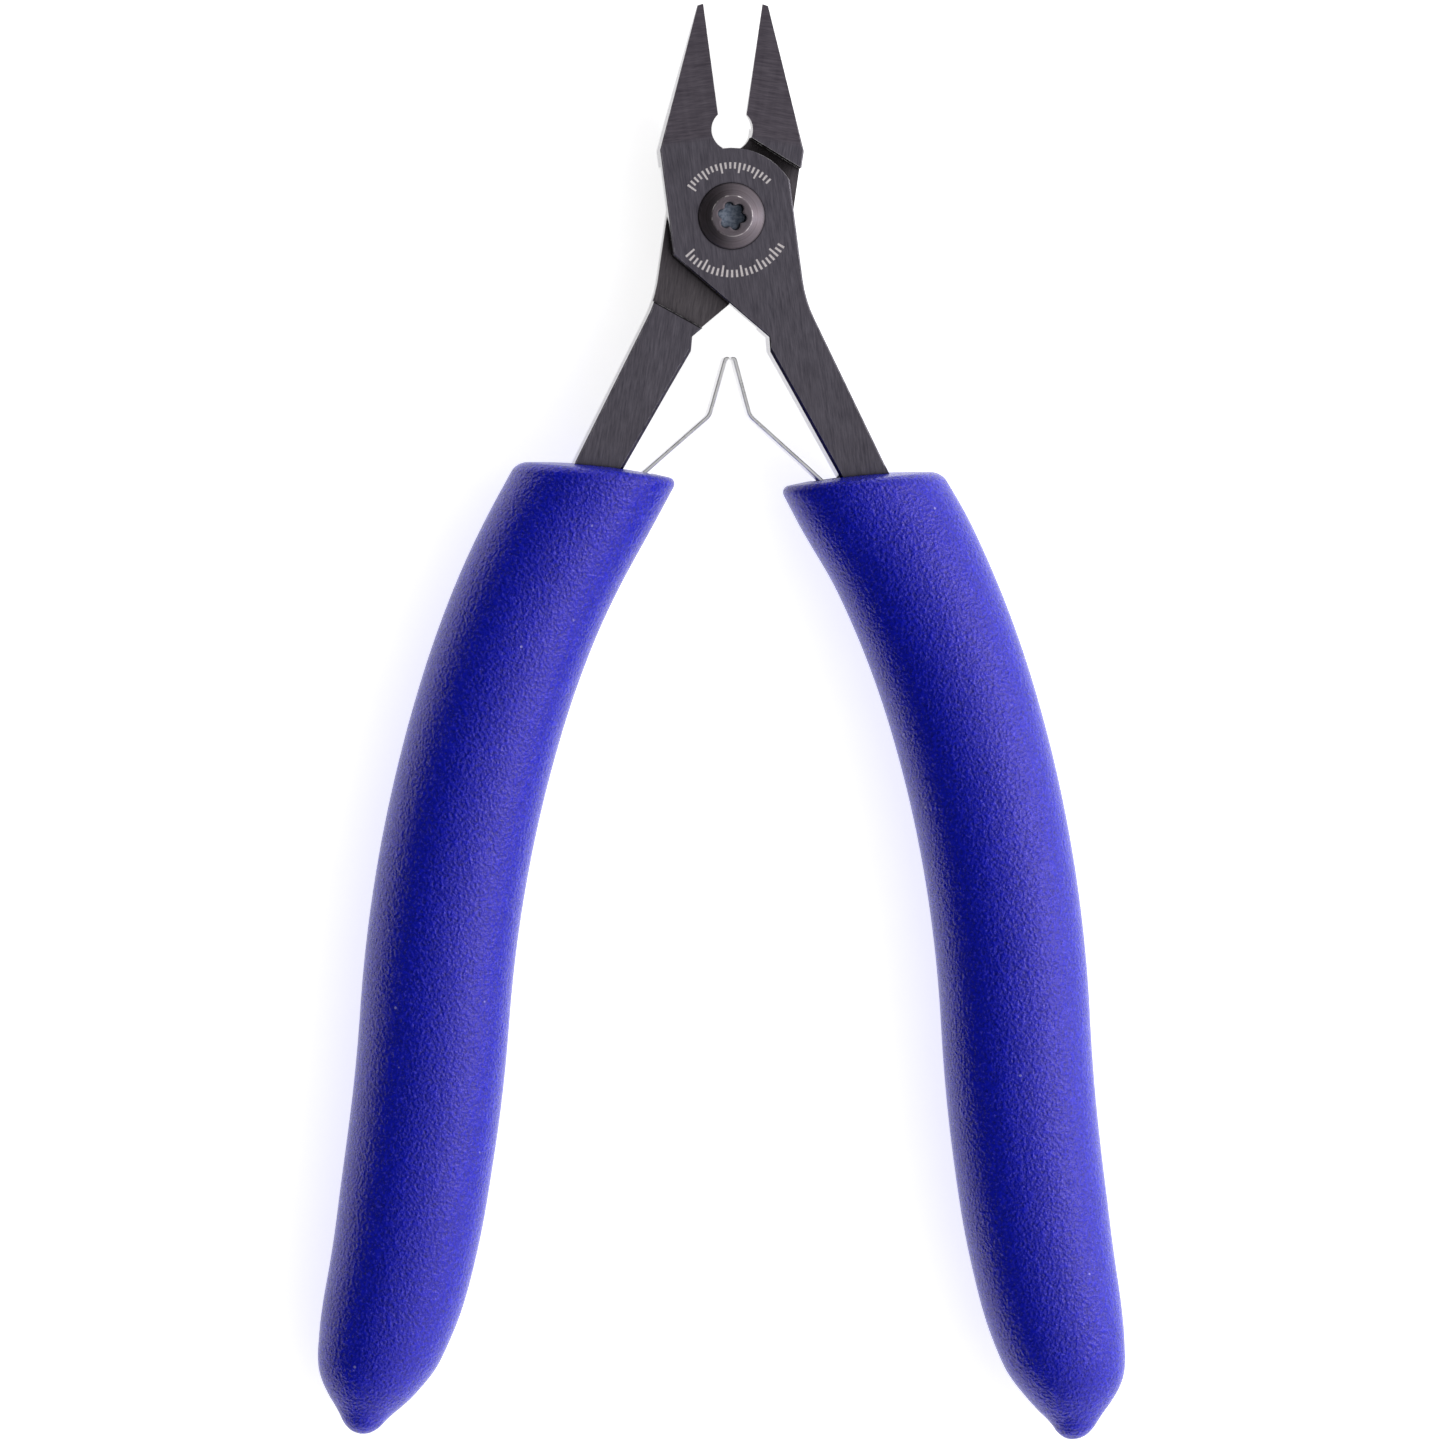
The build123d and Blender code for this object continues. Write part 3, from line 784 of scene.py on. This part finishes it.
def rounded_path(points, radii, step=0.25):
    """Points along straight runs with round corners, about one step apart."""
    path = [Vector(points[0])]
    for i in range(1, len(points) - 1):
        before, corner, after = Vector(points[i - 1]), Vector(points[i]), Vector(points[i + 1])
        u, v = (before - corner).normalized(), (after - corner).normalized()
        half = math.acos(max(-1, min(1, u.dot(v)))) / 2
        radius = radii[i - 1]
        back = radius / math.tan(half)
        centre = corner + (u + v).normalized() * radius / math.sin(half)
        a, b = corner + u * back - centre, corner + v * back - centre
        sweep = a.angle_signed(b)
        count = max(4, int(abs(sweep) / 0.16))
        for k in range(count + 1):
            turned = a.copy()
            turned.rotate(Matrix.Rotation(-sweep * k / count, 2))
            path.append(centre + turned)
    path.append(Vector(points[-1]))
    dense = [path[0]]
    for a, b in zip(path, path[1:]):
        parts = max(1, round((b - a).length / step))
        dense += [a.lerp(b, k / parts) for k in range(1, parts + 1)]
    return dense


def make_leaf(name, foot, arm, flip):
    """One leaf spring as a single bent strip, from its foot in the grip to its hooked tip."""
    offset = -TANG_HALF - LEAF_THICKNESS / 2
    foot_points = [opened(*place(LEAF_BEND_S + back, offset)[:2]) for back in LEAF_FOOT]
    bend = opened(*place(LEAF_BEND_S, offset)[:2])
    points = [*foot_points, bend, LEAF_KNEE, LEAF_TOP, LEAF_HOOK]
    path = rounded_path(points, LEAF_RADII)
    half_t, half_w, soft = LEAF_THICKNESS / 2, LEAF_WIDTH / 2, LEAF_EDGE
    section = [
        (-half_t + soft, -half_w), (half_t - soft, -half_w), (half_t, -half_w + soft),
        (half_t, -half_w / 3), (half_t, half_w / 3), (half_t, half_w - soft),
        (half_t - soft, half_w), (-half_t + soft, half_w), (-half_t, half_w - soft),
        (-half_t, half_w / 3), (-half_t, -half_w / 3), (-half_t, -half_w + soft),
    ]
    verts = []
    for i, p in enumerate(path):
        direction = (path[min(i + 1, len(path) - 1)] - path[max(i - 1, 0)]).normalized()
        side = Vector((-direction.y, direction.x))
        thinned = min(1.0, (len(path) - 1 - i) * 0.5 + 0.75)
        for across, rise in section:
            spot = p + side * across * thinned
            verts.append((spot.x, spot.y, MID_Z + rise))
    if flip:
        verts = mirrored(verts)
    count = len(section)
    faces = ring_faces(len(path), count)
    faces.append(tuple(range(count)))
    faces.append(tuple(range((len(path) - 1) * count, len(path) * count)))
    leaf = new_object(name, verts, faces)
    sharpen(leaf, 35)
    leaf.data.materials.append(looks["spring"])
    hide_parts(foot, arm)
    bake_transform(leaf)


# ---- pivot screw ----

def recess_radius(angle):
    """Outline of the six-lobe recess: a circle with a round lobe every 60 degrees."""
    pitch = math.radians(60)
    nearest = (angle - LOBE_TURN + pitch / 2) % pitch - pitch / 2
    inside = LOBE_RADIUS ** 2 - (LOBE_CIRCLE * math.sin(nearest)) ** 2
    lobe = LOBE_CIRCLE * math.cos(nearest) + math.sqrt(inside) if inside > 0 else 0.0
    return (max(lobe, 0.0) ** 14 + RECESS_RADIUS ** 14) ** (1 / 14)


def make_screw():
    """The whole screw as rings from the middle of its recess floor, over the head, to its far end."""
    angles = [2 * math.pi * k / SCREW_SIDES for k in range(SCREW_SIDES)]
    floor_z = HEAD_TOP - RECESS_DEPTH
    verts = []
    rings = 0

    def ring(radius_of, z):
        nonlocal rings
        for a in angles:
            r = radius_of(a)
            verts.append((r * math.cos(a), r * math.sin(a), z))
        rings += 1

    def recess(grow):
        return lambda a: recess_radius(a) + grow

    def round_ring(radius):
        return lambda a: radius

    def between(share, radius):
        return lambda a: recess_radius(a) * (1 - share) + radius * share

    for radius, sink in ((0.03, 0.1), (0.4, 0.08), (0.8, 0.04), (1.0, 0.01)):
        ring(round_ring(radius), floor_z - sink)
    for grow, z in (
        (-0.03, floor_z),
        (-0.01, floor_z + 0.03),
        (0.0, floor_z + 0.08),
        (0.0, floor_z + 0.6),
        (0.0, HEAD_TOP - 0.09),
        (0.012, HEAD_TOP - 0.045),
        (0.035, HEAD_TOP - 0.012),
        (0.08, HEAD_TOP),
    ):
        ring(recess(grow), z)
    for share in (0.4, 0.75):
        ring(between(share, TOP_RADIUS - 0.1), HEAD_TOP)
    slope = (HEAD_RADIUS - TOP_RADIUS) / (HEAD_TOP - HEAD_BASE - 0.15)
    cone = []
    for drop in (0.2, 0.4, 0.6, 0.74):
        bulge = 0.05 * math.sin(math.pi * drop / 0.8)
        cone.append((TOP_RADIUS + slope * drop + bulge, HEAD_TOP - drop))
    for radius, z in (
        (TOP_RADIUS - 0.1, HEAD_TOP),
        (TOP_RADIUS - 0.03, HEAD_TOP - 0.012),
        (TOP_RADIUS + 0.035, HEAD_TOP - 0.05),
        *cone,
        (HEAD_RADIUS - 0.03, HEAD_BASE + 0.14),
        (HEAD_RADIUS, HEAD_BASE + 0.09),
        (HEAD_RADIUS, HEAD_BASE + 0.04),
        (HEAD_RADIUS - 0.03, HEAD_BASE),
        (JOURNAL_RADIUS, HEAD_BASE),
        (JOURNAL_RADIUS, JOURNAL_SEAT),
        (THREAD_RADIUS, JOURNAL_SEAT),
        (THREAD_RADIUS, 0.14),
        (THREAD_RADIUS - 0.05, 0.04),
        (THREAD_RADIUS - 0.16, 0.0),
        (1.0, 0.0),
        (0.45, 0.0),
        (0.38, 0.03),
        (0.06, 0.22),
    ):
        ring(round_ring(radius), z)
    faces = ring_faces(rings, SCREW_SIDES)
    faces.append(tuple(range(SCREW_SIDES)))
    faces.append(tuple(range((rings - 1) * SCREW_SIDES, rings * SCREW_SIDES)))
    screw = new_object("pivot_screw_turned", verts, faces)
    sharpen(screw, 32)
    screw.data.materials.append(looks["screw"])
    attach(screw, "rear")
    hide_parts("pivot_screw")


# ---- build ----

looks = {
    "front": steel_look("steel_front", 1),
    "rear": steel_look("steel_rear", -1),
    "grip": grip_look("grip_cushion"),
    "screw": screw_look("screw_oxide"),
    "spring": leaf_look("spring_steel"),
    "rivet": rivet_look("rivet_steel"),
    "floor": floor_look("floor_paper"),
}

for node, look in (
    ("front_half", "front"),
    ("rear_half", "rear"),
    ("right_spring_rivets", "rivet"),
    ("left_spring_rivets", "rivet"),
):
    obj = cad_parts[node]
    for index in range(len(obj.data.materials)):
        obj.material_slots[index].material = looks[look]

make_screw()
make_grip("right_grip_cushion", "front", "right_grip", False)
make_grip("left_grip_cushion", "rear", "left_grip", True)
make_leaf("right_leaf_spring", "right_spring_foot", "right_spring_arm", False)
make_leaf("left_leaf_spring", "left_spring_foot", "left_spring_arm", True)

# ---- floor, light and camera ----

floor_z = cad_box[0][2] / MM - FLOOR_GAP
floor = new_object(
    "floor",
    [(x, y, floor_z) for x, y in (
        (-FLOOR_HALF, -FLOOR_HALF),
        (FLOOR_HALF, -FLOOR_HALF),
        (FLOOR_HALF, FLOOR_HALF),
        (-FLOOR_HALF, FLOOR_HALF),
    )],
    [(0, 1, 2, 3)],
    smooth=False,
)
floor.data.materials.append(looks["floor"])


def area_light(name, place_mm, target_mm, size_mm, power):
    """A soft rectangular light that faces its target."""
    lamp = bpy.data.lights.new(name, "AREA")
    lamp.shape = "RECTANGLE"
    lamp.size, lamp.size_y = (side * MM for side in size_mm)
    lamp.energy = power
    obj = bpy.data.objects.new(name, lamp)
    spot, target = Vector(place_mm) * MM, Vector(target_mm) * MM
    obj.location = spot
    obj.rotation_euler = (target - spot).to_track_quat("-Z", "Y").to_euler()
    bpy.context.scene.collection.objects.link(obj)


area_light("key_right", KEY_PLACE, KEY_TARGET, KEY_SIZE, KEY_WATTS)

# The sky is brighter towards +X.
world = bpy.data.worlds.new("studio")
bpy.context.scene.world = world
world.use_nodes = True
background = world.node_tree.nodes["Background"]
background.inputs["Color"].default_value = (1.0, 1.0, 1.0, 1)
direction = world.node_tree.nodes.new("ShaderNodeTexCoord")
part = world.node_tree.nodes.new("ShaderNodeSeparateXYZ")
glow = world.node_tree.nodes.new("ShaderNodeMapRange")
for name, value in (("From Min", -0.3), ("From Max", 0.5), ("To Min", 0.03), ("To Max", 1.2)):
    glow.inputs[name].default_value = value
world.node_tree.links.new(direction.outputs["Generated"], part.inputs[0])
world.node_tree.links.new(part.outputs["X"], glow.inputs["Value"])
world.node_tree.links.new(glow.outputs[0], background.inputs["Strength"])

camera_data = bpy.data.cameras.new("camera")
camera = bpy.data.objects.new("camera", camera_data)
bpy.context.scene.collection.objects.link(camera)
back = Vector(CAMERA_BACK).normalized()
right = Vector((math.cos(CAMERA_LEAN), math.sin(CAMERA_LEAN), -CAMERA_BACK[0]))
right = (right - back * right.dot(back)).normalized()
up = back.cross(right)
spot = (Vector(CAMERA_CENTRE) + back * CAMERA_DISTANCE) * MM
camera.matrix_world = Matrix(
    (
        (right.x, up.x, back.x, spot.x),
        (right.y, up.y, back.y, spot.y),
        (right.z, up.z, back.z, spot.z),
        (0, 0, 0, 1),
    )
)
camera_data.sensor_width = CAMERA_SENSOR
camera_data.lens = CAMERA_SENSOR * CAMERA_DISTANCE / FRAME_WIDTH
camera_data.clip_end = 10
bpy.context.scene.camera = camera
bpy.context.scene.view_settings.view_transform = "Standard"
